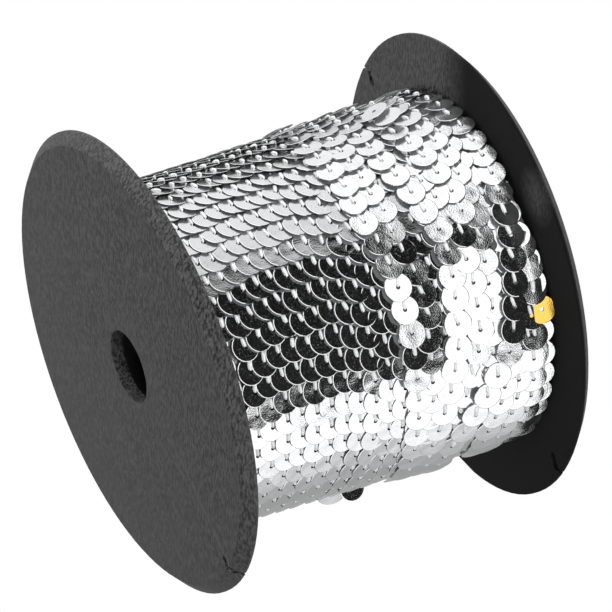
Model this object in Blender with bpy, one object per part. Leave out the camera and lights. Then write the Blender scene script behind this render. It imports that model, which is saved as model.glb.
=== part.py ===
"""Sequin trim wound on a black plastic spool, standing on the rims of its two end discs.

A string of flat sequins is wound turn beside turn on a tube between two discs. The spool's axis
runs along X. The row's origin is on the surface that the discs stand on, under the middle of the
whole object. Angles round the axis start at the front (-Y) and pass over the top (+Z).
"""

import math

import bmesh
import bpy
from mathutils import Matrix, Vector

MM = 0.001

# The spool: two discs on a tube
DISC_RADIUS = 50.0 * MM
DISC_THICKNESS = 2.8 * MM
DISC_FACE_RADIUS = 47.4 * MM  # the flat outer face ends here, and a chamfer runs out to the rim
RIM_LAND = 0.5 * MM  # the narrow straight edge beside the inner face
HALF_LENGTH = 40.6 * MM  # from the middle of the tube to a disc's outer face
TUBE_RADIUS = 10.0 * MM
TUBE_BORE_RADIUS = 7.9 * MM
TUBE_RECESS = 0.3 * MM  # how far the tube's ends lie inside the discs' outer faces
GAP = 0.3 * MM  # between neighbouring pieces
FLAT_DEPTH = 0.35 * MM  # cut off the rims where the spool stands

# The disc on the left isn't quite square on the tube
LEAN_TOP_OUT = math.radians(2.9)
LEAN_FRONT_IN = math.radians(0.9)

# A catch for the thread's end: an oval eye near the rim, and a slit from it to the rim
CATCH_EYE_LENGTH = 4.2 * MM
CATCH_EYE_WIDTH = 1.7 * MM
CATCH_EYE_AT = 46.9 * MM  # from the axis to the eye's middle
CATCH_EYE_TURN = math.radians(24)  # the eye's long axis against the radius
CATCH_SLIT_WIDTH = 0.7 * MM
CATCH_SLIT_LENGTH = 4.0 * MM
CATCH_SLIT_AT = 48.8 * MM
CATCH_SLIT_TURN = math.radians(-30)
CATCHES_LEFT = (-33.0,)  # degrees
CATCHES_RIGHT = (-33.0, 150.0)

# The winding
TURN_PITCH = 3.5 * MM
TURN_STEP = 0.5 * MM  # each turn's left edge lies this far above its neighbour's right edge
TURN_CREST = 0.84  # the share of the pitch over which a turn slopes down to the right
END_GAP = 0.4 * MM  # between the winding and a disc
UPPER_LAYER = 1.1 * MM  # a second layer of turns lies on the right part
UPPER_LAYER_RAMP = 2.4 * MM

# Radius of the lower layer in mm, at five places along the axis and on four sides
LAYER_COLUMNS = ("x", "front", "top", "back", "bottom")
SIDES = LAYER_COLUMNS[1:]  # a quarter of a turn apart, from the angle 0
LAYER_ROWS = (
    (-37.0, 36.4, 35.9, 36.4, 37.4),
    (-13.0, 36.8, 36.2, 36.7, 37.8),
    (2.0, 37.2, 36.7, 37.0, 38.1),
    (14.0, 37.6, 36.7, 37.2, 37.5),
    (37.0, 38.7, 37.1, 37.9, 36.4),
)
# Where the upper layer starts along the axis in mm, by the angle round it in degrees
EDGE_COLUMNS = ("angle", "x")
EDGE_ROWS = (
    (-90.0, 8.5),
    (-45.0, 6.8),
    (0.0, 5.8),
    (45.0, 5.2),
    (90.0, 0.6),
    (135.0, 1.8),
    (180.0, 5.5),
    (225.0, 8.0),
)

# How finely the round shapes are cut
DISC_STEPS = 96
TUBE_STEPS = 48
TURN_STEPS = 60
EYE_STEPS = 16


def remove_everything():
    for thing in list(bpy.data.objects):
        bpy.data.objects.remove(thing, do_unlink=True)


def make_material(name, color, roughness, metallic=0.0):
    material = bpy.data.materials.new(name)
    material.use_nodes = True
    shader = material.node_tree.nodes["Principled BSDF"]
    shader.inputs["Base Color"].default_value = (*color, 1.0)
    shader.inputs["Roughness"].default_value = roughness
    shader.inputs["Metallic"].default_value = metallic
    return material


def make_object(name, bm, material, parent, smooth_angle=math.radians(30)):
    """Turns a bmesh into a named object below the spool's axis empty."""
    bmesh.ops.recalc_face_normals(bm, faces=bm.faces)
    mesh = bpy.data.meshes.new(name)
    bm.to_mesh(mesh)
    bm.free()
    mesh.shade_smooth()
    mesh.set_sharp_from_angle(angle=smooth_angle)
    thing = bpy.data.objects.new(name, mesh)
    bpy.context.collection.objects.link(thing)
    thing.parent = parent
    if material:
        mesh.materials.append(material)
    return thing


def make_cutter(name, bm, parent):
    cutter = make_object(name, bm, None, parent)
    cutter.hide_render = True
    cutter.display_type = "WIRE"
    return cutter


def cut(thing, cutter):
    modifier = thing.modifiers.new(cutter.name, "BOOLEAN")
    modifier.operation = "DIFFERENCE"
    modifier.solver = "EXACT"
    modifier.object = cutter


def turned(profile, steps):
    """A ring: a closed profile of (along the axis, radius) points, turned about X."""
    bm = bmesh.new()
    corners = [bm.verts.new((x, 0.0, r)) for x, r in profile]
    edges = [bm.edges.new((a, b)) for a, b in zip(corners, corners[1:] + corners[:1])]
    bmesh.ops.spin(
        bm,
        geom=corners + edges,
        cent=(0, 0, 0),
        axis=(1, 0, 0),
        angle=math.tau,
        steps=steps,
        use_merge=True,
    )
    bmesh.ops.remove_doubles(bm, verts=bm.verts, dist=0.001 * MM)
    return bm


def lean_matrix():
    """The left disc's lean: its top tips outwards, its front edge slightly inwards."""
    return Matrix.Rotation(LEAN_FRONT_IN, 4, "Z") @ Matrix.Rotation(-LEAN_TOP_OUT, 4, "Y")


def disc_placement(side):
    """side is -1 for the left disc and 1 for the right one. A disc's own +X points inwards."""
    place = Matrix.Translation((side * HALF_LENGTH, 0, 0))
    if side < 0:
        return place @ lean_matrix()
    return place @ Matrix.Rotation(math.pi, 4, "Z")


def axis_height():
    return DISC_RADIUS - FLAT_DEPTH


def trim_flat(bm, placement):
    """Cuts the small flat that the disc stands on, level with the floor."""
    into_disc = placement.inverted()
    bmesh.ops.bisect_plane(
        bm,
        geom=list(bm.verts) + list(bm.edges) + list(bm.faces),
        plane_co=into_disc @ Vector((0, 0, -axis_height())),
        plane_no=into_disc.to_3x3() @ Vector((0, 0, -1)),
        clear_outer=True,
        dist=0.002 * MM,
    )
    bmesh.ops.holes_fill(bm, edges=[e for e in bm.edges if e.is_boundary], sides=0)


def stadium(length, width, depth):
    """A bar along Z with round ends, standing through the disc along X."""
    bm = bmesh.new()
    half_run = (length - width) / 2
    outline = []
    for end in (1, -1):
        for i in range(EYE_STEPS // 2 + 1):
            a = math.pi * i / (EYE_STEPS // 2) + (0 if end > 0 else math.pi)
            outline.append((width / 2 * math.cos(a), end * half_run + width / 2 * math.sin(a)))
    face = bm.faces.new([bm.verts.new((-depth / 2, y, z)) for y, z in outline])
    grown = bmesh.ops.extrude_face_region(bm, geom=[face])
    top = [v for v in grown["geom"] if isinstance(v, bmesh.types.BMVert)]
    bmesh.ops.translate(bm, verts=top, vec=(depth, 0, 0))
    return bm


def catch_cutters(name, angle_deg, side, parent):
    """The eye and the slit of one thread catch, at an angle round the axis."""
    turn = Matrix.Rotation(math.radians(90 - angle_deg), 4, "X")  # brings the top to the angle
    through = 4 * DISC_THICKNESS
    cutters = []
    for part, length, width, at, slant in (
        ("eye", CATCH_EYE_LENGTH, CATCH_EYE_WIDTH, CATCH_EYE_AT, CATCH_EYE_TURN),
        ("slit", CATCH_SLIT_LENGTH, CATCH_SLIT_WIDTH, CATCH_SLIT_AT, CATCH_SLIT_TURN),
    ):
        bm = stadium(length, width, through)
        radial = Matrix.Translation((0, 0, at)) @ Matrix.Rotation(slant, 4, "X")
        bmesh.ops.transform(bm, matrix=turn @ radial, verts=bm.verts)
        cutter = make_cutter(f"{name}_{part}", bm, parent)
        cutter.location.x = side * HALF_LENGTH
        cutters.append(cutter)
    return cutters


def make_disc(name, side, catches, material, parent):
    bore = TUBE_RADIUS + GAP + (DISC_THICKNESS * math.sin(LEAN_TOP_OUT) if side < 0 else 0)
    bm = turned(
        (
            (0, bore),
            (0, DISC_FACE_RADIUS),
            (DISC_THICKNESS - RIM_LAND, DISC_RADIUS),
            (DISC_THICKNESS, DISC_RADIUS),
            (DISC_THICKNESS, bore),
        ),
        DISC_STEPS,
    )
    placement = disc_placement(side)
    trim_flat(bm, placement)
    disc = make_object(name, bm, material, parent)
    disc.matrix_local = placement
    for number, angle_deg in enumerate(catches, 1):
        for cutter in catch_cutters(f"catch_{name}_{number}", angle_deg, side, parent):
            cut(disc, cutter)
    return disc


def make_tube(material, parent):
    end = HALF_LENGTH - TUBE_RECESS
    bm = turned(
        ((-end, TUBE_BORE_RADIUS), (-end, TUBE_RADIUS), (end, TUBE_RADIUS), (end, TUBE_BORE_RADIUS)),
        TUBE_STEPS,
    )
    return make_object("core_tube", bm, material, parent)


def ease(t):
    """Runs from 0 to 1 with a level start and finish."""
    t = min(max(t, 0.0), 1.0)
    return t * t * (3 - 2 * t)


def along(rows, columns, name, x):
    """Reads a table's named column at x, which its first column holds, smoothly between rows."""
    column = columns.index(name)
    if x <= rows[0][0]:
        return rows[0][column]
    for low, high in zip(rows, rows[1:]):
        if x <= high[0]:
            share = ease((x - low[0]) / (high[0] - low[0]))
            return low[column] + share * (high[column] - low[column])
    return rows[-1][column]


def lower_radius(x, angle):
    """The lower layer's radius: the four sides' columns, blended round the axis."""
    quarter = (angle % math.tau) / (math.pi / 2)
    first = int(quarter) % len(SIDES)
    second = (first + 1) % len(SIDES)
    here, there = (along(LAYER_ROWS, LAYER_COLUMNS, SIDES[k], x / MM) for k in (first, second))
    return (here + ease(quarter - int(quarter)) * (there - here)) * MM


def upper_edge(angle):
    """Where the upper layer starts along the axis, at an angle round it."""
    start = EDGE_ROWS[0][0]
    rows = EDGE_ROWS + ((start + 360.0, EDGE_ROWS[0][1]),)
    return along(rows, EDGE_COLUMNS, "x", (math.degrees(angle) - start) % 360.0 + start) * MM


def package_radius(x, angle):
    layer = UPPER_LAYER * ease((x - upper_edge(angle)) / UPPER_LAYER_RAMP)
    return lower_radius(x, angle) + layer


def wound_surface():
    """One long screw-shaped strip, two rows a turn, that runs past both ends of the winding."""
    bm = bmesh.new()
    reach = HALF_LENGTH + 2 * TURN_PITCH
    turns = int(2 * reach / TURN_PITCH)
    rows = []
    for step in range(turns * TURN_STEPS + 1):
        angle = math.tau * step / TURN_STEPS
        left = -reach + TURN_PITCH * step / TURN_STEPS
        ends = []
        for share, drop in ((0.0, 0.0), (TURN_CREST, TURN_STEP)):
            x = left + share * TURN_PITCH
            radius = package_radius(x, angle) - drop
            ends.append(bm.verts.new((x, -radius * math.cos(angle), radius * math.sin(angle))))
        rows.append(ends)
    for (crest, low), (next_crest, next_low) in zip(rows, rows[1:]):
        bm.faces.new((crest, next_crest, next_low, low))
    for (_, low), (_, next_low), (crest, _), (next_crest, _) in zip(
        rows, rows[1:], rows[TURN_STEPS:], rows[TURN_STEPS + 1 :]
    ):
        bm.faces.new((low, next_low, next_crest, crest))
    return bm


def make_winding(material, parent):
    """The wound surface, cut off beside each disc, closed, and bored for the tube."""
    bm = wound_surface()
    for side in (-1, 1):
        placement = disc_placement(side)
        clear = DISC_THICKNESS + END_GAP
        bmesh.ops.bisect_plane(
            bm,
            geom=list(bm.verts) + list(bm.edges) + list(bm.faces),
            plane_co=placement @ Vector((clear, 0, 0)),
            plane_no=placement.to_3x3() @ Vector((-1, 0, 0)),
            clear_outer=True,
            dist=0.02 * MM,
        )
    bmesh.ops.holes_fill(bm, edges=[e for e in bm.edges if e.is_boundary], sides=0)
    winding = make_object("winding", bm, material, parent, smooth_angle=math.radians(22))
    passage = bmesh.new()
    bmesh.ops.create_cone(
        passage,
        cap_ends=True,
        segments=TUBE_STEPS,
        radius1=TUBE_RADIUS + GAP,
        radius2=TUBE_RADIUS + GAP,
        depth=3 * HALF_LENGTH,
        matrix=Matrix.Rotation(math.pi / 2, 4, "Y"),
    )
    cut(winding, make_cutter("tube_passage", passage, parent))
    return winding


def bounds_along(axis, things):
    values = [(t.matrix_world @ v.co)[axis] for t in things for v in t.data.vertices]
    return min(values), max(values)


def main():
    remove_everything()
    plastic = make_material("black_plastic", (0.035, 0.035, 0.037), 0.55)
    silver = make_material("silver_sequins", (0.86, 0.87, 0.88), 0.18, metallic=1.0)
    axis = bpy.data.objects.new("spool_axis", None)
    bpy.context.collection.objects.link(axis)
    axis.location = (0, 0, axis_height())
    pieces = [
        make_disc("flange_left", -1, CATCHES_LEFT, plastic, axis),
        make_disc("flange_right", 1, CATCHES_RIGHT, plastic, axis),
        make_tube(plastic, axis),
        make_winding(silver, axis),
    ]
    # The left disc leans out, so the spool is moved to bring its middle over the origin.
    bpy.context.view_layer.update()
    for direction in (0, 1):
        low, high = bounds_along(direction, pieces)
        axis.location[direction] -= (low + high) / 2
    bpy.context.view_layer.update()
    print("axis at", tuple(round(c / MM, 3) for c in axis.location), "mm")


main()
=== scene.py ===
# %% [markdown]
# # Sequin trim on a spool
#
# The real object is one long string of flat, round, silvered sequins, sewn edge over edge on a
# thread and wound turn beside turn on a black plastic spool. This lesson dresses the plain solids
# of that spool. The discs keep their shape and get softened edges and a moulded plastic finish,
# and the plain wound solid gives way to well over a thousand separate sequins with their stitches.
#
# All sizes are written in millimetres and turned into metres by MM, so that they read as real ones.

# %% Load the frame
import math
import random

import bmesh
import bpy
from mathutils import Matrix, Vector


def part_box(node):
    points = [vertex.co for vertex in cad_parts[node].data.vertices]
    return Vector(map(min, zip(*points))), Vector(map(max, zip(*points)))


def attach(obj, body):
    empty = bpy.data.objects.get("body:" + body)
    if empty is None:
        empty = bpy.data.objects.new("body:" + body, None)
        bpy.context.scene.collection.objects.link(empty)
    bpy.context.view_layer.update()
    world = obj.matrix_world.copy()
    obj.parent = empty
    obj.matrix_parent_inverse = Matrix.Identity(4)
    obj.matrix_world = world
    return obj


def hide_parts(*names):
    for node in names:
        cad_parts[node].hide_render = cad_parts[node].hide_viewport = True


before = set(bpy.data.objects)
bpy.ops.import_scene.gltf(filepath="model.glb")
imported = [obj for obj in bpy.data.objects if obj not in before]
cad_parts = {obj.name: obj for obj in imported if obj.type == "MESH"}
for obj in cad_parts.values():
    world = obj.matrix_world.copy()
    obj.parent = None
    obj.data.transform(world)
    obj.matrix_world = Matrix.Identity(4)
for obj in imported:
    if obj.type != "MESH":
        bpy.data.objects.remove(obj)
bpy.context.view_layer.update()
MM = 0.001
tube_low, tube_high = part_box("core_tube")
AXIS = (tube_low + tube_high) / 2  # the middle of the spool's axis, which runs along X
print("spool axis at", tuple(round(c / MM, 2) for c in AXIS), "mm")

# %% [markdown]
# ## The camera
#
# The photograph was taken from the front left and from above, through a long lens. The two discs
# give the viewpoint: their outlines are ellipses, and the ellipses' shapes and places fix the
# camera's direction, its distance and its lens. A camera could be aimed with a constraint, but a
# matrix made of its right, up and back directions says the same thing in one step.

# %% Place the camera
VIEW_AZIMUTH = math.radians(-28.17)
VIEW_ELEVATION = math.radians(34.61)
VIEW_DISTANCE = 1402.7 * MM
FOCAL_PIXELS = 6781.7
FRAME_PIXELS = 612
SENSOR_MM = 36.0
AIM_RIGHT = 0.52 * MM
AIM_UP = 1.54 * MM

back = Vector(
    (
        math.sin(VIEW_AZIMUTH) * math.cos(VIEW_ELEVATION),
        -math.cos(VIEW_AZIMUTH) * math.cos(VIEW_ELEVATION),
        math.sin(VIEW_ELEVATION),
    )
)
right = Vector((math.cos(VIEW_AZIMUTH), math.sin(VIEW_AZIMUTH), 0))
up = back.cross(right)
camera_data = bpy.data.cameras.new("camera")
camera_data.sensor_width = SENSOR_MM
camera_data.lens = FOCAL_PIXELS * SENSOR_MM / FRAME_PIXELS
camera = bpy.data.objects.new("camera", camera_data)
bpy.context.collection.objects.link(camera)
turn = Matrix((right, up, back)).transposed().to_4x4()
stand_point = AXIS + right * AIM_RIGHT + up * AIM_UP + back * VIEW_DISTANCE
camera.matrix_world = Matrix.Translation(stand_point) @ turn
bpy.context.scene.camera = camera
bpy.context.scene.view_settings.view_transform = "Standard"
print("lens", round(camera_data.lens, 1), "mm")

# %% [markdown]
# ## The studio
#
# Sequins are mirrors, so what surrounds them is most of what is seen. Here the surroundings are
# painted on the world: a white table all round below the horizon, a white light overhead and
# behind, a bright panel in front on the left, and a dark room in front on the right. Panels of
# real geometry would do as well, but then other views would see them. The pattern depends only on
# the direction that a ray leaves in. Rays that leave the camera see plain white.

# %% Paint the surroundings
world = bpy.data.worlds.new("studio")
bpy.context.scene.world = world
world.use_nodes = True
sky = world.node_tree
sky.nodes.clear()


def add_node(tree, kind, label, **settings):
    """Adds a node, names it, and sets its fields and its inputs' values."""
    node = tree.nodes.new(kind)
    node.label = label
    for key, value in settings.items():
        if hasattr(node, key):
            setattr(node, key, value)
        else:
            node.inputs[key].default_value = value
    return node


def fill_ramp(ramp, stops, interpolation="LINEAR"):
    """Fills a colour ramp from (place, grey) stops."""
    ramp.interpolation = interpolation
    while len(ramp.elements) > 1:
        ramp.elements.remove(ramp.elements[-1])
    ramp.elements[0].position = stops[0][0]
    ramp.elements[0].color = (stops[0][1],) * 3 + (1,)
    for place, grey in stops[1:]:
        element = ramp.elements.new(place)
        element.color = (grey,) * 3 + (1,)


def round_the_spool(degrees):
    """A direction's place on a ramp that runs round the X axis: -180 to 180, 0 in front, 90 up."""
    return (degrees + 180) / 360


SHARP = 0.7  # degrees over which a panel's edge fades
TABLE_EDGE = -7.0
LIGHT_EDGE = 97.0
dark_front = (
    (-180, 0.55),
    (-160, 0.40),
    (-95, 0.27),
    (-80, 0.33),
    (-66, 0.44),
    (-54, 0.70),
    (-44, 0.92),
    (TABLE_EDGE - SHARP, 0.95),
    (TABLE_EDGE + SHARP, 0.012),
    (LIGHT_EDGE - SHARP, 0.004),
    (LIGHT_EDGE + SHARP, 0.42),
    (108, 0.55),
    (122, 0.66),
    (165, 0.72),
    (180, 0.60),
)
LIT_TO = 150  # degrees; the bright panel reaches up to here
lit_front = tuple((a, 0.98 if TABLE_EDGE < a < LIT_TO else grey) for a, grey in dark_front)

directions = add_node(sky, "ShaderNodeTexCoord", "direction")
parts = add_node(sky, "ShaderNodeSeparateXYZ", "parts of the direction")
sky.links.new(directions.outputs["Generated"], parts.inputs[0])
forward = add_node(sky, "ShaderNodeMath", "forwards", operation="MULTIPLY")
forward.inputs[1].default_value = -1
sky.links.new(parts.outputs["Y"], forward.inputs[0])
angle_node = add_node(sky, "ShaderNodeMath", "angle round X", operation="ARCTAN2")
sky.links.new(parts.outputs["Z"], angle_node.inputs[0])
sky.links.new(forward.outputs[0], angle_node.inputs[1])
place_node = add_node(sky, "ShaderNodeMapRange", "place on the ramps")
place_node.inputs["From Min"].default_value = -math.pi
place_node.inputs["From Max"].default_value = math.pi
sky.links.new(angle_node.outputs[0], place_node.inputs["Value"])
ramps = []
for label, stops in (("dark front", dark_front), ("lit front", lit_front)):
    ramp_node = add_node(sky, "ShaderNodeValToRGB", label)
    fill_ramp(ramp_node.color_ramp, [(round_the_spool(a), grey) for a, grey in stops])
    sky.links.new(place_node.outputs[0], ramp_node.inputs[0])
    ramps.append(ramp_node)
# The front panel lies between two slices of X: bright inside, dark on its right and far left.
PANEL_SLICES = ((-1.0, 0.0), (-0.50, 0.0), (-0.42, 1.0), (0.27, 1.0), (0.31, 0.0), (1.0, 0.0))
slice_node = add_node(sky, "ShaderNodeMapRange", "slice of X")
slice_node.inputs["From Min"].default_value = -1
sky.links.new(parts.outputs["X"], slice_node.inputs["Value"])
panel = add_node(sky, "ShaderNodeValToRGB", "front panel")
fill_ramp(panel.color_ramp, [((x + 1) / 2, grey) for x, grey in PANEL_SLICES])
sky.links.new(slice_node.outputs[0], panel.inputs[0])
surroundings = add_node(sky, "ShaderNodeMix", "surroundings", data_type="RGBA")
sky.links.new(panel.outputs[0], surroundings.inputs["Factor"])
sky.links.new(ramps[0].outputs[0], surroundings.inputs[6])
sky.links.new(ramps[1].outputs[0], surroundings.inputs[7])
backdrop = add_node(sky, "ShaderNodeBackground", "backdrop", Color=(1, 1, 1, 1), Strength=1.0)
ray = add_node(sky, "ShaderNodeLightPath", "kind of ray")
# Soft light, which only matt surfaces take in, is made stronger than what the mirrors show.
strength = add_node(sky, "ShaderNodeMapRange", "strength")
strength.inputs["To Min"].default_value = 1.25
strength.inputs["To Max"].default_value = 2.3
sky.links.new(ray.outputs["Is Diffuse Ray"], strength.inputs["Value"])
around = add_node(sky, "ShaderNodeBackground", "studio light")
sky.links.new(strength.outputs[0], around.inputs["Strength"])
sky.links.new(surroundings.outputs[2], around.inputs["Color"])
choose = add_node(sky, "ShaderNodeMixShader", "backdrop or studio")
sky.links.new(ray.outputs["Is Camera Ray"], choose.inputs[0])
sky.links.new(around.outputs[0], choose.inputs[1])
sky.links.new(backdrop.outputs[0], choose.inputs[2])
output = add_node(sky, "ShaderNodeOutputWorld", "world")
sky.links.new(choose.outputs[0], output.inputs["Surface"])

# %% [markdown]
# ## The floor
#
# The photograph's floor is plain white paper with no shadow on it. A plane that gives off its own
# white light does that. The sequins don't mirror the plane: they see the white table that is
# painted on the world, which is evenly bright. On the spool the plane throws much less light than
# the camera sees, as paper in the spool's own shade would.

# %% Lay the floor
FLOOR_SIZE = 3.0
bm = bmesh.new()
bmesh.ops.create_grid(bm, x_segments=1, y_segments=1, size=FLOOR_SIZE / 2)
floor_mesh = bpy.data.meshes.new("floor")
bm.to_mesh(floor_mesh)
bm.free()
floor = bpy.data.objects.new("floor", floor_mesh)
bpy.context.collection.objects.link(floor)
floor.location.z = -0.05 * MM
floor.visible_glossy = False
paper = bpy.data.materials.new("white_paper")
paper.use_nodes = True
paper.node_tree.nodes.clear()
glow = add_node(paper.node_tree, "ShaderNodeEmission", "paper", Color=(1, 1, 1, 1), Strength=1.0)
seen_from = add_node(paper.node_tree, "ShaderNodeLightPath", "kind of ray")
thrown = add_node(paper.node_tree, "ShaderNodeMapRange", "less on the spool")
thrown.inputs["To Min"].default_value = 0.3
paper.node_tree.links.new(seen_from.outputs["Is Camera Ray"], thrown.inputs["Value"])
paper.node_tree.links.new(thrown.outputs[0], glow.inputs["Strength"])
paper_output = add_node(paper.node_tree, "ShaderNodeOutputMaterial", "surface")
paper.node_tree.links.new(glow.outputs[0], paper_output.inputs["Surface"])
floor_mesh.materials.append(paper)

# %% [markdown]
# ## Black moulded plastic
#
# The discs are cheap moulded plastic: nearly black, a little shiny, with a fine upright grain
# from the mould. A single dark colour would look like a hole in the picture, so a stretched noise
# varies the colour, the shine and the relief. The right disc's inner face mirrors the roll rather
# than the bright room, so a painted shade, a darker colour and a duller shine set by place, makes
# it nearly black in front, with less of that painted shade on one soft patch.

# %% Mix the plastic


def new_material(name):
    material = bpy.data.materials.new(name)
    material.use_nodes = True
    return material, material.node_tree, material.node_tree.nodes["Principled BSDF"]


def link_bump(tree, shader, height, strength, distance):
    bump = add_node(tree, "ShaderNodeBump", "relief", Strength=strength, Distance=distance)
    tree.links.new(height, bump.inputs["Height"])
    tree.links.new(bump.outputs[0], shader.inputs["Normal"])


# Painted shade: the right disc's inner face is darkened to this colour in front, and the painted
# shade is fainter round the patch below.
PAINTED_SHADE_COLOR = (0.0015, 0.0015, 0.0015, 1)
LESS_SHADE_PATCH = (39.05, -29.5, 84.0)  # mm, on the right disc's inner face


def paint_shade(tree, where):
    """Painted shade: 1 on the right disc's inner face in front, 0 behind and outside, less on a
    patch.
    """
    parts = add_node(tree, "ShaderNodeSeparateXYZ", "parts of the place")
    tree.links.new(where.outputs["Object"], parts.inputs[0])
    inside = add_node(tree, "ShaderNodeMapRange", "inner face")
    front = add_node(tree, "ShaderNodeMapRange", "in front")
    limits = ((inside, "X", 40.0, 40.3), (front, "Y", 0.0, 11.0))
    for node, axis, full, none in limits:
        node.inputs["From Min"].default_value = full * MM
        node.inputs["From Max"].default_value = none * MM
        node.inputs["To Min"].default_value = 1
        node.inputs["To Max"].default_value = 0
        tree.links.new(parts.outputs[axis], node.inputs["Value"])
    away = add_node(tree, "ShaderNodeVectorMath", "from the mark", operation="DISTANCE")
    away.inputs[1].default_value = Vector(LESS_SHADE_PATCH) * MM
    tree.links.new(where.outputs["Object"], away.inputs[0])
    clear = add_node(tree, "ShaderNodeMapRange", "off the mark")
    clear.inputs["From Max"].default_value = 7.0 * MM
    clear.inputs["To Min"].default_value = 0.15
    tree.links.new(away.outputs["Value"], clear.inputs["Value"])
    both = add_node(tree, "ShaderNodeMath", "inside in front", operation="MULTIPLY")
    tree.links.new(inside.outputs[0], both.inputs[0])
    tree.links.new(front.outputs[0], both.inputs[1])
    shade = add_node(tree, "ShaderNodeMath", "shade", operation="MULTIPLY")
    tree.links.new(both.outputs[0], shade.inputs[0])
    tree.links.new(clear.outputs[0], shade.inputs[1])
    return shade.outputs[0]


def make_plastic(name, darkest, lightest, with_painted_shade=False):
    material, tree, shader = new_material(name)
    where = add_node(tree, "ShaderNodeTexCoord", "where")
    stretch = add_node(tree, "ShaderNodeMapping", "upright grain", Scale=(1.0, 1.0, 0.3))
    tree.links.new(where.outputs["Object"], stretch.inputs["Vector"])
    grain = add_node(tree, "ShaderNodeTexNoise", "grain", Scale=2000.0, Detail=3.0, Roughness=0.7)
    tree.links.new(stretch.outputs[0], grain.inputs["Vector"])
    tone = add_node(tree, "ShaderNodeValToRGB", "tone")
    fill_ramp(tone.color_ramp, ((0.41, darkest), (0.59, lightest)))
    tree.links.new(grain.outputs["Fac"], tone.inputs[0])
    gloss = add_node(tree, "ShaderNodeMapRange", "shine")
    gloss.inputs["From Min"].default_value = 0.35
    gloss.inputs["From Max"].default_value = 0.65
    gloss.inputs["To Min"].default_value = 0.38
    gloss.inputs["To Max"].default_value = 0.66
    tree.links.new(grain.outputs["Fac"], gloss.inputs["Value"])
    color, roughness = tone.outputs[0], gloss.outputs[0]
    # Painted shade: on the right disc's inner face in front the colour goes nearly black and the
    # shine dull.
    if with_painted_shade:
        shade = paint_shade(tree, where)
        dark = add_node(tree, "ShaderNodeMix", "shaded colour", data_type="RGBA")
        dark.inputs[7].default_value = PAINTED_SHADE_COLOR
        tree.links.new(shade, dark.inputs["Factor"])
        tree.links.new(color, dark.inputs[6])
        dull = add_node(tree, "ShaderNodeMix", "shaded shine")
        dull.inputs["B"].default_value = 1.0
        tree.links.new(shade, dull.inputs["Factor"])
        tree.links.new(roughness, dull.inputs["A"])
        color, roughness = dark.outputs[2], dull.outputs[0]
    tree.links.new(color, shader.inputs["Base Color"])
    tree.links.new(roughness, shader.inputs["Roughness"])
    link_bump(tree, shader, grain.outputs["Fac"], 0.6, 0.02 * MM)
    shader.inputs["Specular IOR Level"].default_value = 0.5
    return material


plastic = make_plastic("black_moulded_plastic", 0.010, 0.108)
# The right disc's plastic carries the painted shade on its inner face.
right_plastic = make_plastic("black_plastic_with_painted_shade", 0.010, 0.108, with_painted_shade=True)
# Painted shade: the tube's plastic is much darker than the discs', for the shade inside the bore.
bore_shade_plastic = make_plastic("black_plastic_darkened_for_bore_shade", 0.001, 0.006)

# %% [markdown]
# ## The discs and the tube
#
# The frame's discs have the right outline, chamfer and thread catches, but their edges are knife
# sharp, and no moulded edge is. Each disc is copied, its loose triangles are merged and their
# flat neighbours dissolved, and its edges get a small round. The copy then stands for the frame's
# disc. The round is narrow enough to stay inside the disc's own outline.
#
# On the frame the tube's end shows as a ring in each disc. In the photograph the disc's face runs
# right up to the bore, so the hole of each copy is drawn in to the bore, along the disc's own
# face, and the tube's copy ends at the discs' inner faces, where it shows as a faint line inside.

# %% Soften the spool's edges
EDGE_ROUND = 0.22 * MM
SHARP_ANGLE = math.radians(25)
BORE_EDGE = 7.84 * MM  # a hair narrower than the tube's own bore
HOLE_LIMIT = 10.9 * MM
INNER_FACE = 37.8  # from the tube's middle to a disc's inner face
LEAN_TOP_OUT = math.radians(2.9)  # the left disc leans
LEAN_FRONT_IN = math.radians(0.9)


def left_face(degrees, radius):
    """Where the leaning disc's inner face is, at an angle and a radius."""
    a = math.radians(degrees)
    lean = -math.sin(LEAN_TOP_OUT) * math.sin(a) + math.sin(LEAN_FRONT_IN) * math.cos(a)
    return -INNER_FACE + radius * lean


def link_piece(name, mesh, material):
    """Makes a finished piece from a mesh that already lies in its place."""
    piece = bpy.data.objects.new(name, mesh)
    bpy.context.collection.objects.link(piece)
    mesh.materials.clear()
    mesh.materials.append(material)
    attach(piece, "root")
    return piece


def copy_node(node):
    """The node's mesh, with its loose triangles merged."""
    bm = bmesh.new()
    bm.from_mesh(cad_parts[node].data)
    bmesh.ops.remove_doubles(bm, verts=bm.verts, dist=0.002 * MM)
    bmesh.ops.dissolve_limit(bm, angle_limit=math.radians(0.4), verts=bm.verts, edges=bm.edges)
    return bm


def finish_copy(bm, node, material):
    mesh = bpy.data.meshes.new(node + "_moulded")
    bm.to_mesh(mesh)
    bm.free()
    mesh.shade_smooth()
    mesh.set_sharp_from_angle(angle=SHARP_ANGLE)
    piece = link_piece(node + "_moulded", mesh, material)
    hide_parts(node)
    print(node, "has", len(mesh.polygons), "faces")


def draw_in_hole(bm):
    """Moves the hole's points in to the bore, each along the disc's face."""
    flat = max(bm.faces, key=lambda face: face.calc_area()).normal
    for v in bm.verts:
        away = v.co - AXIS
        reach = math.hypot(away.y, away.z)
        if reach < HOLE_LIMIT:
            shift = Vector((0, away.y, away.z)) * (BORE_EDGE / reach - 1)
            shift.x = -(flat.y * shift.y + flat.z * shift.z) / flat.x
            v.co += shift


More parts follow.
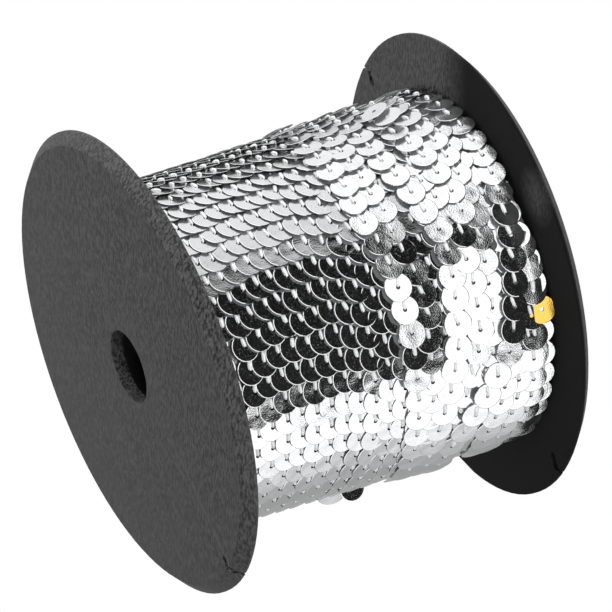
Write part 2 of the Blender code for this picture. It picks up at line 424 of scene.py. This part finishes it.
for node, material in (("flange_left", plastic), ("flange_right", right_plastic)):
    bm = copy_node(node)
    draw_in_hole(bm)
    edges = [e for e in bm.edges if len(e.link_faces) == 2 and e.calc_face_angle(0) > SHARP_ANGLE]
    bmesh.ops.bevel(
        bm,
        geom=edges,
        offset=EDGE_ROUND,
        offset_type="OFFSET",
        segments=2,
        profile=0.5,
        affect="EDGES",
        clamp_overlap=True,
        material=-1,
    )
    finish_copy(bm, node, material)

bm = copy_node("core_tube")
for v in bm.verts:
    away = (v.co - AXIS) / MM
    degrees = math.degrees(math.atan2(away.z, -away.y))
    end = INNER_FACE if away.x > 0 else left_face(degrees, math.hypot(away.y, away.z))
    v.co.x = AXIS.x + end * MM
finish_copy(bm, "core_tube", bore_shade_plastic)

# %% [markdown]
# ## The shape of the wound trim
#
# The turns lie on a package that isn't quite round: it sags a little below, and a second layer of
# turns covers its right part. The radius is read from a short table, with a row for each place
# along the axis and a column for each side. Angles run round the axis, from the front over the top.

# %% Describe the package
LAYER_ROWS = (
    {"x": -37.0, "front": 36.4, "top": 35.9, "back": 36.4, "bottom": 37.4},
    {"x": -13.0, "front": 36.8, "top": 36.2, "back": 36.7, "bottom": 37.8},
    {"x": 2.0, "front": 37.2, "top": 36.7, "back": 37.0, "bottom": 38.1},
    {"x": 14.0, "front": 37.6, "top": 36.7, "back": 37.2, "bottom": 37.5},
    {"x": 37.0, "front": 38.7, "top": 37.1, "back": 37.9, "bottom": 36.4},
)
SIDES = ("front", "top", "back", "bottom")


def ease(t):
    """Runs from 0 to 1 with a level start and finish."""
    t = min(max(t, 0.0), 1.0)
    return t * t * (3 - 2 * t)


def read_rows(rows, key, value, column):
    """Reads a column where the key column has this value, smoothly between rows."""
    if value <= rows[0][key]:
        return rows[0][column]
    for low, high in zip(rows, rows[1:]):
        if value <= high[key]:
            share = ease((value - low[key]) / (high[key] - low[key]))
            return low[column] + share * (high[column] - low[column])
    return rows[-1][column]


def lower_radius(x, degrees):
    """The lower layer's radius in mm, at x mm along the axis and an angle round it."""
    quarter = (degrees % 360) / 90
    first = int(quarter) % 4
    here, there = (read_rows(LAYER_ROWS, "x", x, SIDES[k % 4]) for k in (first, first + 1))
    return here + ease(quarter - int(quarter)) * (there - here)


def on_package(x, degrees, radius):
    """A point in metres from its place along the axis, its angle and its radius in mm."""
    a = math.radians(degrees)
    return AXIS + Vector((x, -radius * math.cos(a), radius * math.sin(a))) * MM


# %% [markdown]
# ## What shows between the sequins
#
# Between the sequins one sees the turns below: more silvered film and thread in deep shade. A
# turned sleeve a little under the sequins stands for them. Its film has a painted shade, a colour
# much darker than the sequins', with painted glints. It is spun from a line of points, then each
# point is moved out to the package's own radius, less the depth that the sequins cover.

# %% Make the turns below
SLEEVE_STEPS = 144
SLEEVE_STATIONS = 120
SLEEVE_DEPTH = 1.6  # mm under the sequins' centres
BORE_RADIUS = 10.3


def ridge(x):
    """A small round ridge for each string of the layer below."""
    return 0.22 * abs(math.sin(math.pi * x / 3.28))


bm = bmesh.new()
line = [bm.verts.new((i / SLEEVE_STATIONS, 0, 1)) for i in range(SLEEVE_STATIONS + 1)]
for a, b in zip(line, line[1:]):
    bm.edges.new((a, b))
bmesh.ops.spin(
    bm, geom=list(bm.verts) + list(bm.edges), cent=(0, 0, 0), axis=(1, 0, 0), angle=math.tau,
    steps=SLEEVE_STEPS, use_merge=True,
)
bmesh.ops.remove_doubles(bm, verts=bm.verts, dist=1e-5)
rims = [e for e in bm.edges if e.is_boundary]
for end in (0, 1):
    rim = [e for e in rims if all(round(v.co.x) == end for v in e.verts)]
    grown = bmesh.ops.extrude_edge_only(bm, edges=rim)
    for v in grown["geom"]:
        if isinstance(v, bmesh.types.BMVert):
            v.co.y *= 0.5
            v.co.z *= 0.5
inner = [e for e in bm.edges if e.is_boundary]
bmesh.ops.bridge_loops(bm, edges=inner)
for v in bm.verts:
    share, reach = v.co.x, math.hypot(v.co.y, v.co.z)
    degrees = math.degrees(math.atan2(v.co.z, -v.co.y))
    x = left_face(degrees, 37) + 0.5 + share * (INNER_FACE - 0.5 - left_face(degrees, 37) - 0.5)
    radius = BORE_RADIUS if reach < 0.75 else lower_radius(x, degrees) - SLEEVE_DEPTH + ridge(x)
    if reach < 0.75 and share < 0.5:
        x = left_face(degrees, BORE_RADIUS) + 0.5
    v.co = on_package(x, degrees, radius)
bmesh.ops.recalc_face_normals(bm, faces=bm.faces)
sleeve_mesh = bpy.data.meshes.new("turns_below")
bm.to_mesh(sleeve_mesh)
bm.free()
sleeve_mesh.shade_smooth()
sleeve_mesh.set_sharp_from_angle(angle=math.radians(50))


def make_film_with_painted_shade():
    material, tree, shader = new_material("film_with_painted_shade")
    where = add_node(tree, "ShaderNodeTexCoord", "where")
    # Painted glints and painted shade: small bright spots on a film much darker than the sequins'.
    cells = add_node(tree, "ShaderNodeTexVoronoi", "glints", Scale=900.0)
    tree.links.new(where.outputs["Object"], cells.inputs["Vector"])
    tone = add_node(tree, "ShaderNodeValToRGB", "tone")
    fill_ramp(tone.color_ramp, ((0.1, 0.55), (0.5, 0.12), (0.9, 0.3)))
    tree.links.new(cells.outputs["Distance"], tone.inputs[0])
    tree.links.new(tone.outputs[0], shader.inputs["Base Color"])
    shader.inputs["Metallic"].default_value = 0.85
    shader.inputs["Roughness"].default_value = 0.35
    link_bump(tree, shader, cells.outputs["Distance"], 0.5, 0.1 * MM)
    return material


sleeve = link_piece("turns_below", sleeve_mesh, make_film_with_painted_shade())
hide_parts("winding")

# %% [markdown]
# ## One sequin
#
# A sequin is punched from silvered film: 6 mm across, a tenth of a millimetre thick, with a small
# hole in the middle and a rim that the punch has turned down, which catches a thin bright line. It
# is made from one circle. The hole's edge is extruded out to the shoulder and then to the rim, and
# the underside bridges the rim back to the hole. The underside isn't silvered, so its faces are
# marked for a second material. With 20 sides that is 60 faces, few enough to repeat more than a
# thousand times.

# %% Punch the sequin
SEQUIN_SIDES = 20
SEQUIN_RADIUS = 3.0
HOLE_RADIUS = 0.46
SHOULDER_RADIUS = 2.87
RIM_DROP = 0.07
DISH = 0.02  # the middle lies a little lower than the shoulder


def punch_sequin():
    bm = bmesh.new()
    hole = bmesh.ops.create_circle(bm, segments=SEQUIN_SIDES, radius=HOLE_RADIUS * MM)["verts"]
    hole_edges = list(bm.edges)
    loop = hole_edges
    for radius, height in ((SHOULDER_RADIUS, DISH), (SEQUIN_RADIUS, DISH - RIM_DROP)):
        grown = bmesh.ops.extrude_edge_only(bm, edges=loop)["geom"]
        ring = [v for v in grown if isinstance(v, bmesh.types.BMVert)]
        loop = [e for e in grown if isinstance(e, bmesh.types.BMEdge)]
        for v in ring:
            flat = v.co.xy.normalized() * radius * MM
            v.co = (flat.x, flat.y, height * MM)
    under = bmesh.ops.bridge_loops(bm, edges=loop + hole_edges)["faces"]
    bmesh.ops.recalc_face_normals(bm, faces=bm.faces)
    for face in under:
        face.material_index = 1
    mesh = bpy.data.meshes.new("sequin")
    bm.to_mesh(mesh)
    bm.free()
    mesh.shade_smooth()
    mesh.set_sharp_from_angle(angle=math.radians(10))
    print("a sequin has", len(mesh.polygons), "faces, and", len(hole), "points round its hole")
    return mesh


sequin = punch_sequin()

# %% [markdown]
# ## One stitch
#
# A stitch of clear thread comes up through each hole and runs up to the next sequin's edge, where
# it goes under. Against the dark reflections it shows as a short white bar. A six-sided bar that
# is bent down at both ends and a little flattened is enough at this size.

# %% Shape the stitch
STITCH_ROWS = (
    {"along": 0.10, "height": -0.35, "half_width": 0.20},
    {"along": 0.12, "height": 0.08, "half_width": 0.30},
    {"along": 0.50, "height": 0.20, "half_width": 0.38},
    {"along": 1.50, "height": 0.16, "half_width": 0.44},
    {"along": 2.40, "height": 0.02, "half_width": 0.42},
)
STITCH_SIDES = 6
STITCH_FLATNESS = 0.6


def shape_stitch():
    bm = bmesh.new()
    first = bmesh.ops.create_circle(bm, cap_ends=True, segments=STITCH_SIDES, radius=1.0)["verts"]
    ring, faces = first, list(bm.faces)
    rings = [ring]
    for _ in STITCH_ROWS[1:]:
        grown = bmesh.ops.extrude_face_region(bm, geom=faces)["geom"]
        ring = [v for v in grown if isinstance(v, bmesh.types.BMVert)]
        faces = [f for f in grown if isinstance(f, bmesh.types.BMFace)]
        rings.append(ring)
    for ring, row in zip(rings, STITCH_ROWS):
        for v in ring:
            across = v.co.x * row["half_width"]
            rise = v.co.y * row["half_width"] * STITCH_FLATNESS
            v.co = Vector((across, row["along"], row["height"] + rise)) * MM
    doubled = [f for f in bm.faces if len(f.verts) == STITCH_SIDES and f not in faces]
    bmesh.ops.delete(bm, geom=doubled[1:], context="FACES_ONLY")
    bmesh.ops.recalc_face_normals(bm, faces=bm.faces)
    mesh = bpy.data.meshes.new("stitch")
    bm.to_mesh(mesh)
    bm.free()
    mesh.shade_smooth()
    print("a stitch has", len(mesh.polygons), "faces")
    return mesh


stitch = shape_stitch()

# %% [markdown]
# ## Laying sequins along a string
#
# Every sequin has its place along the axis, its angle and its radius, and two small turns. The
# tilt raises its lower edge, because each sequin lies on the one below it. The roll raises the
# edge that lies on the neighbouring string. Both turns decide what the sequin mirrors, so they
# matter more than its place. A seeded generator adds the small unevenness of a real string.
#
# Places are written as they look on a drum of one radius round the axis, because that is how they
# are read off a picture. A sequin that lies deeper than the drum is met further along the line of
# sight, so each reading is carried along that line down to the sequin's own radius.

# %% Write down where a sequin goes
TILT = 8.0  # degrees
chance = random.Random(6)
eye = (camera.matrix_world.translation - AXIS) / MM


def sequin_matrix(x, degrees, radius, tilt, roll):
    a = math.radians(degrees)
    along = Vector((0, math.sin(a), math.cos(a)))
    out = Vector((0, -math.cos(a), math.sin(a)))
    stand = Matrix((Vector((1, 0, 0)), along, out)).transposed().to_4x4()
    roll_turn = Matrix.Rotation(math.radians(roll), 4, "Y")
    tilt_turn = Matrix.Rotation(math.radians(-tilt), 4, "X")
    return Matrix.Translation(on_package(x, degrees, radius)) @ stand @ roll_turn @ tilt_turn


def seen_at(x, degrees, drum, radius):
    """The place and angle, at this radius, of what is seen at a place and angle on a drum."""
    a = math.radians(degrees)
    point = Vector((x, -drum * math.cos(a), drum * math.sin(a)))
    sight = (point - eye).normalized()
    square = sight.y**2 + sight.z**2
    half = point.y * sight.y + point.z * sight.z
    root = math.sqrt(max(half**2 - square * (drum**2 - radius**2), 0))
    found = point + sight * (-half - root) / square
    return found.x, math.degrees(math.atan2(found.z, -found.y))


def join_copies(name, pattern, places):
    """One mesh that holds a copy of the pattern at every place."""
    bm = bmesh.new()
    for place in places:
        copy = pattern.copy()
        copy.transform(place)
        bm.from_mesh(copy)
        bpy.data.meshes.remove(copy)
    mesh = bpy.data.meshes.new(name)
    bm.to_mesh(mesh)
    bm.free()
    return mesh


# %% [markdown]
# ## The lower layer
#
# The lower layer is one screw of sequins from disc to disc. Its strings lie about 3.3 mm apart,
# so each covers half of its left-hand neighbour and leans on it, with its left edge raised. The
# holes of neighbouring strings don't quite line up, so the angle of one hole is written down for
# each string, and the sequins between two such holes are spaced evenly. Beside the leaning disc a
# pinched string is turned every way, so it mixes bright sequins with dark ones. One place beside
# the right disc is left free for a gold sequin.

# %% Lay the lower layer
STRING_PITCH = 3.33
SEQUIN_STEP = 7.66  # degrees from hole to hole
FIRST_STRING = -32.6  # at the angle of the holes below
STRING_HOLES = (
    41.1, 40.6, 42.4, 43.6, 44.1, 43.4, 44.1, 44.4, 42.4, 40.7, 44.4,
    42.8, 41.4, 42.0, 41.0, 42.2, 43.4, 42.1, 43.6, 43.0, 42.0,
)
LOWER_ROLL = 5.5
RISING_ROLLS = {19: -9.0, 20: -14.0}  # the last strings climb the right disc's face
LOWER_DEPTH = 0.2  # the sequins' middles lie this far under the layer's radius
DRUM = 39.4  # the radius that places are read at
GOLD_RADIUS = 38.9
PINCHED_X = 2.75  # from the leaning disc
PINCHED_ROLLS = (
    (5, -9), (14, 5), (22, -4), (29, -9), (36, -5), (44, 8), (51, -7), (59, -10), (66, -7),
)


def lower_place(x, degrees, tilt, roll):
    return sequin_matrix(x, degrees, lower_radius(x, degrees) - LOWER_DEPTH, tilt, roll)


gold_x, gold_angle = seen_at(35.1, 18.3, DRUM, GOLD_RADIUS)
last_string = len(STRING_HOLES) - 1
lower_places = []
for string, hole in enumerate(STRING_HOLES):
    following = STRING_HOLES[string + 1] if string + 1 < len(STRING_HOLES) else hole
    count = round((360 + following - hole) / SEQUIN_STEP)
    for k in range(count):
        share = k / count
        degrees = hole + share * (360 + following - hole) + chance.gauss(0, 0.25)
        x = FIRST_STRING + STRING_PITCH * (string + share) + chance.gauss(0, 0.08)
        x = min(x, INNER_FACE - 3.15)
        if string == last_string and abs(degrees - gold_angle) < SEQUIN_STEP / 2:
            continue  # the gold one lies here
        tilt, roll = TILT + chance.gauss(0, 0.7), LOWER_ROLL + chance.gauss(0, 0.8)
        if string in RISING_ROLLS:
            roll = RISING_ROLLS[string] + chance.gauss(0, 3)
        lower_places.append(lower_place(x, degrees, tilt, roll))
for k in range(round(360 / SEQUIN_STEP)):
    degrees = -40 + SEQUIN_STEP * k + chance.gauss(0, 0.5)
    x = left_face(degrees, 36) + PINCHED_X + chance.gauss(0, 0.1)
    nearest = min(PINCHED_ROLLS, key=lambda row: abs(row[0] - degrees))
    roll = nearest[1] if abs(nearest[0] - degrees) < 6 else chance.gauss(-2, 7)
    lower_places.append(lower_place(x, degrees, TILT + chance.gauss(0, 3), roll))
print(len(lower_places), "sequins in the lower layer")

# %% [markdown]
# ## The upper layer
#
# The second layer is wound back from the right, so its strings cover their right-hand neighbours.
# It is loose: strings wander, part and cross, and one of them runs right over the others. Each is
# a short list of turning points, from below up the front and over the top of the roll, with the
# angle and the place along the axis as seen on the drum, the height over the lower layer and the
# roll. Each string also has the angle of one of its holes, and how many sequins go round the
# roll. The back is finished plainly: each string that runs from below over the top is closed in a
# ring, and the others stop at their last row.

# %% Chart the upper strings
UPPER_COLUMNS = ("angle", "x", "lift", "roll")
UPPER_STRINGS = {
    "first": {"hole": 1.5, "count": 48, "rows": (
        (-40, 6.6, 0.9, -4), (-20, 5.9, 0.9, -4), (-6, 5.6, 1.0, -4), (2, 5.5, 1.0, -5),
        (8.5, 5.4, 1.1, -3), (12, 5.5, 1.1, 2), (16.5, 5.4, 1.1, 4), (20, 5.4, 1.1, 1),
        (24, 5.5, 1.2, -6), (31, 5.0, 1.1, -9), (38, 4.9, 1.0, -8), (45, 4.8, 1.0, -4),
        (52, 4.1, 0.9, -1), (55, 3.8, 0.9, -2), (60, 2.9, 1.0, -6), (74, 3.1, 1.0, -7),
        (82, 2.2, 1.0, -7), (95, 2.0, 1.0, -7), (110, 2.0, 1.0, -7),
    )},
    "second": {"hole": -1.2, "count": 50, "rows": (
        (-40, 8.9, 0.5, -3), (-14, 8.8, 0.6, -4), (-1, 8.8, 0.7, -5), (6, 8.8, 0.7, -5),
        (10, 8.9, 0.8, 1), (14, 8.9, 0.8, 4), (21, 9.1, 0.8, 3), (27, 9.9, 0.7, -1.5),
        (34, 9.8, 0.6, 0), (41, 9.5, 0.6, 0), (47, 8.6, 0.7, 4), (54, 7.9, 0.7, -2.5),
        (61, 8.1, 0.7, -6), (68, 7.4, 0.7, -7), (82, 7.4, 0.7, -7), (110, 7.4, 0.7, -7),
    )},
    "third": {"hole": 0.5, "count": 49, "rows": (
        (-40, 10.0, 1.1, -4), (-21, 10.3, 1.2, -4), (-14, 10.9, 1.2, -5), (-7, 11.8, 1.2, -6),
        (1, 13.0, 1.2, -7), (8, 14.1, 1.2, -8), (15, 15.2, 1.3, -9), (22, 15.9, 1.3, -9),
        (30, 16.5, 1.2, -9), (38, 17.3, 1.1, -6), (45, 18.0, 1.0, -3.5), (50, 17.8, 1.0, -3),
        (57, 16.3, 1.0, -7), (66, 15.5, 1.0, -7), (72, 14.4, 1.0, -7), (78, 13.6, 1.0, -7),
        (86, 13.3, 1.0, -7), (98, 12.8, 1.0, -6), (110, 12.6, 1.0, -6),
    )},
    "between": {"hole": 60.0, "count": 49, "rows": (
        (51, 21.0, 0.7, -4), (58, 20.0, 0.9, -7), (68, 18.8, 0.7, -7), (77, 18.3, 0.2, -6),
    )},
    "fourth": {"hole": 18.0, "count": 49, "rows": (
        (-40, 13.4, 0.3, -3), (-14, 14.6, 0.3, 0), (-6, 16.0, 0.3, 0), (3, 17.8, 0.4, -1),
        (10.5, 19.7, 0.7, -6), (18, 20.7, 1.0, -9), (33, 21.2, 1.3, -10), (40, 21.1, 1.3, -9),
        (44, 21.7, 1.2, -4), (48.5, 22.5, 1.2, 3), (51, 23.5, 1.2, -2), (55, 24.0, 1.2, -6),
        (61, 23.8, 1.2, -7), (68, 23.0, 1.2, -7), (75, 22.1, 1.2, -7), (88, 20.2, 1.2, -7),
        (100, 18.3, 1.2, -7), (110, 18.0, 1.2, -7),
    )},
    "fifth": {"hole": 23.0, "count": 49, "rows": (
        (-2, 21.0, 0.7, -5), (10, 23.0, 0.7, -7), (23, 24.1, 0.8, -9), (34, 24.6, 0.9, -9),
        (42, 25.4, 0.8, -4), (47, 26.0, 0.8, 0), (53, 26.4, 0.8, -3), (66, 26.8, 0.8, -7),
        (74, 26.6, 0.8, -8), (87, 25.6, 0.9, -10), (96, 24.8, 1.1, -14), (110, 23.0, 1.3, -16),
    )},
    "sixth": {"hole": 83.0, "count": 52, "rows": (
        (60, 28.9, 0.4, -5), (74, 28.5, 0.5, -7), (87, 28.6, 0.5, -7), (96, 28.4, 0.6, -6),
        (110, 28.0, 0.6, -6),
    )},
    "crossing": {"hole": 1.8, "count": 52, "rows": (
        (-40, 13.4, 1.4, -4), (-28, 14.6, 1.4, -5), (-18, 17.4, 1.5, -6), (-11, 19.5, 1.6, -6),
        (-5, 21.8, 1.6, -6), (2, 24.0, 1.6, -6), (8.5, 26.9, 1.7, -3), (12, 27.7, 1.7, 2),
        (15.5, 28.2, 1.7, 4), (22.5, 29.2, 1.7, 5), (30, 30.4, 1.6, 4), (36, 31.2, 1.5, 1),
        (43.5, 32.2, 1.4, 1), (50.5, 32.9, 1.3, 3), (55, 33.3, 1.2, -3), (59, 33.5, 1.2, -8),
        (64, 33.8, 1.2, -11), (77, 34.2, 1.2, -12), (86, 34.3, 1.2, -12), (93, 34.3, 1.2, -4),
        (98, 34.3, 1.2, 2), (110, 34.3, 1.2, 2),
    )},
    "lower_right": {"hole": -3.7, "count": 54, "rows": (
        (-40, 22.9, 0.9, -4), (-22, 23.6, 1.0, -4), (-10, 25.1, 1.0, -5), (-4, 25.7, 1.0, -5),
        (2, 26.6, 0.8, -4), (8, 27.2, 0.6, 0),
    )},
    "far_right": {"hole": -3.3, "count": 52, "rows": (
        (-40, 25.6, 0.8, -4), (-28, 26.8, 0.9, -4), (-16, 28.2, 0.9, -5), (-10, 28.9, 0.9, -5),
        (-3, 29.0, 0.8, -5), (4, 28.9, 0.6, -3), (9, 31.0, 0.4, 0), (13, 32.0, 0.4, 2),
    )},
    "last": {"hole": 2.8, "count": 50, "rows": (
        (-26, 32.0, 0.4, -2), (-17, 32.0, 0.6, -3), (-4, 32.5, 0.8, -5), (3, 32.4, 0.8, -5),
        (9, 33.0, 0.6, 0), (17, 32.5, 0.4, 2), (24, 33.9, 0.5, -2), (33, 34.6, 0.5, -6),
        (42, 34.8, 0.5, -3),
    )},
}
BOTTOM, TOP = -40, 110  # a string whose rows span these is closed behind


def carry(row):
    """A row's true place, angle, lift and roll."""
    angle, x, lift, roll = row
    radius = lower_radius(x, angle) - LOWER_DEPTH + lift
    true_x, true_angle = seen_at(x, angle, DRUM, radius)
    return dict(zip(UPPER_COLUMNS, (true_angle, true_x, lift, roll)))


def string_at(rows, degrees):
    """A string's place, lift and roll at an angle. Behind, it runs from its end to its start."""
    end, start = rows[-1]["angle"], rows[0]["angle"] + 360
    if degrees > end:
        share = (degrees - end) / (start - end)
        return [rows[-1][k] + share * (rows[0][k] - rows[-1][k]) for k in UPPER_COLUMNS[1:]]
    return [read_rows(rows, "angle", degrees, k) for k in UPPER_COLUMNS[1:]]


upper_places = []
for chart in UPPER_STRINGS.values():
    rows = [carry(row) for row in chart["rows"]]
    whole = chart["rows"][0][0] == BOTTOM and chart["rows"][-1][0] == TOP
    step = 360 / chart["count"]
    start, end = rows[0]["angle"], rows[-1]["angle"]
    hole_x = read_rows(rows, "angle", chart["hole"], "x")
    hole = seen_at(hole_x, chart["hole"], DRUM, lower_radius(hole_x, chart["hole"]) + 0.8)[1]
    degrees = hole - step * math.floor((hole - start) / step)
    while degrees < (start + 359.9 if whole else end):
        x, lift, roll = string_at(rows, degrees)
        x = min(x, INNER_FACE - 3.15) + chance.gauss(0, 0.06)
        radius = lower_radius(x, degrees) - LOWER_DEPTH + lift
        tilt, roll = TILT + chance.gauss(0, 0.8), roll + chance.gauss(0, 0.8)
        upper_places.append(sequin_matrix(x, degrees + chance.gauss(0, 0.2), radius, tilt, roll))
        degrees += step
print(len(upper_places), "sequins in the upper layer")

# %% [markdown]
# ## Silvered film
#
# The film is a mirror with fine scratches and a little dust. Where a sequin mirrors the edge
# between dark and light, the scratches break that edge into speckles, as in the photograph. So
# the finish needs relief at a fine scale and a low roughness, rather than any painted speckles.

# %% Silver the film


def make_film(name, color, dust):
    material, tree, shader = new_material(name)
    where = add_node(tree, "ShaderNodeTexCoord", "where")
    fine = add_node(tree, "ShaderNodeTexNoise", "fine scratches", Scale=3600.0, Detail=3.0)
    coarse = add_node(tree, "ShaderNodeTexNoise", "slight waves", Scale=420.0, Detail=0.0)
    for noise in (fine, coarse):
        tree.links.new(where.outputs["Object"], noise.inputs["Vector"])
    height = add_node(tree, "ShaderNodeMath", "both together", operation="MULTIPLY_ADD")
    height.inputs[1].default_value = 0.28
    tree.links.new(fine.outputs["Fac"], height.inputs[0])
    tree.links.new(coarse.outputs["Fac"], height.inputs[2])
    link_bump(tree, shader, height.outputs[0], 1.0, 0.09 * MM)
    specks = add_node(tree, "ShaderNodeMapRange", "dust")
    specks.inputs["From Min"].default_value = 0.54
    specks.inputs["From Max"].default_value = 0.72
    specks.inputs["To Max"].default_value = dust
    tree.links.new(fine.outputs["Fac"], specks.inputs["Value"])
    haze = add_node(tree, "ShaderNodeMapRange", "haze")
    haze.inputs["To Min"].default_value = 0.05
    haze.inputs["To Max"].default_value = 0.6
    tree.links.new(specks.outputs[0], haze.inputs["Value"])
    tree.links.new(haze.outputs[0], shader.inputs["Roughness"])
    bare = add_node(tree, "ShaderNodeMapRange", "bare metal")
    bare.inputs["To Min"].default_value = 1.0
    bare.inputs["To Max"].default_value = 0.5
    tree.links.new(specks.outputs[0], bare.inputs["Value"])
    tree.links.new(bare.outputs[0], shader.inputs["Metallic"])
    tint = add_node(tree, "ShaderNodeMix", "dusty colour", data_type="RGBA")
    tint.inputs[6].default_value = (*color, 1)
    tint.inputs[7].default_value = (0.7, 0.7, 0.7, 1)
    tree.links.new(specks.outputs[0], tint.inputs["Factor"])
    tree.links.new(tint.outputs[2], shader.inputs["Base Color"])
    return material


def make_underside():
    material, tree, shader = new_material("bare_underside")
    where = add_node(tree, "ShaderNodeTexCoord", "where")
    grain = add_node(tree, "ShaderNodeTexNoise", "grain", Scale=2500.0, Detail=2.0)
    tree.links.new(where.outputs["Object"], grain.inputs["Vector"])
    tone = add_node(tree, "ShaderNodeValToRGB", "tone")
    fill_ramp(tone.color_ramp, ((0.3, 0.50), (0.7, 0.68)))
    tree.links.new(grain.outputs["Fac"], tone.inputs[0])
    tree.links.new(tone.outputs[0], shader.inputs["Base Color"])
    shader.inputs["Roughness"].default_value = 0.5
    link_bump(tree, shader, grain.outputs["Fac"], 0.4, 0.01 * MM)
    return material


silver_film = make_film("silvered_film", (0.93, 0.94, 0.95), 0.35)
bare_underside = make_underside()


def link_film(name, mesh, film):
    """Makes a piece of sequins, silvered above and bare below."""
    faces_below = [face.material_index for face in mesh.polygons]
    piece = link_piece(name, mesh, film)
    mesh.materials.append(bare_underside)
    mesh.polygons.foreach_set("material_index", faces_below)
    return piece


lower_mesh = join_copies("sequins_lower_layer", sequin, lower_places)
lower = link_film("sequins_lower_layer", lower_mesh, silver_film)
upper_mesh = join_copies("sequins_upper_layer", sequin, upper_places)
upper = link_film("sequins_upper_layer", upper_mesh, silver_film)
print(len(lower.data.polygons) + len(upper.data.polygons), "faces of film")

# %% [markdown]
# ## The stitches
#
# Each stitch goes where its sequin goes, so the same places serve again. Clear nylon carries light
# along itself and lets it out at its bends, so it stays pale even in the shade of the sequins. A
# faint painted glow, a light of its own, shows that more cheaply than real refraction would. No
# two stitches are pulled alike, so each is turned a little and has its own width and length.

# %% Sew the stitches


def make_thread():
    material, tree, shader = new_material("clear_thread_painted_glow")
    where = add_node(tree, "ShaderNodeTexCoord", "where")
    strands = add_node(tree, "ShaderNodeTexNoise", "strands", Scale=3500.0, Detail=2.0)
    tree.links.new(where.outputs["Object"], strands.inputs["Vector"])
    tone = add_node(tree, "ShaderNodeValToRGB", "tone")
    fill_ramp(tone.color_ramp, ((0.3, 0.62), (0.7, 0.88)))
    tree.links.new(strands.outputs["Fac"], tone.inputs[0])
    tree.links.new(tone.outputs[0], shader.inputs["Base Color"])
    shader.inputs["Roughness"].default_value = 0.4
    # Painted glow: the thread gives off a faint light of its own.
    shader.inputs["Emission Color"].default_value = (0.9, 0.92, 0.94, 1)
    shader.inputs["Emission Strength"].default_value = 0.3
    link_bump(tree, shader, strands.outputs["Fac"], 0.4, 0.03 * MM)
    return material


def sew(place):
    """A stitch's own place: its sequin's, turned and stretched a little about the hole."""
    turned = Matrix.Rotation(math.radians(pull.gauss(0, 7)), 4, "Z")
    stretched = Matrix.Diagonal((pull.uniform(0.6, 1.0), pull.uniform(0.8, 1.0), 1, 1))
    return place @ turned @ stretched


pull = random.Random(11)
clear_thread_painted_glow = make_thread()
stitches = join_copies("stitches", stitch, [sew(place) for place in lower_places + upper_places])
link_piece("stitches", stitches, clear_thread_painted_glow)
print(len(stitches.polygons), "faces of thread")

# %% [markdown]
# ## The odd ones
#
# One sequin beside the right disc is gold: a stray from another colour. Two more have slipped out
# under the roll, and a few stick up on top. They are the same sequin, placed one by one.

# %% Place the odd ones
gold_film = make_film("gold_film", (0.90, 0.60, 0.12), 0.2)
gold = sequin.copy()
gold.transform(sequin_matrix(gold_x, gold_angle, GOLD_RADIUS, TILT, -12.0))
link_film("gold_sequin", gold, gold_film)
STRAY_PLACES = (
    (-2.4, -64.5, 38.8, 48.0, -21.0),
    (1.5, -60.7, 37.9, 84.0, 60.0),
    (3.0, 112.0, 38.4, 14.0, -8.0),
    (21.5, 104.0, 39.0, 6.0, -24.0),
    (22.5, 98.0, 39.0, 6.0, -22.0),
)
strays = join_copies("stray_sequins", sequin, [sequin_matrix(*place) for place in STRAY_PLACES])
link_film("stray_sequins", strays, silver_film)
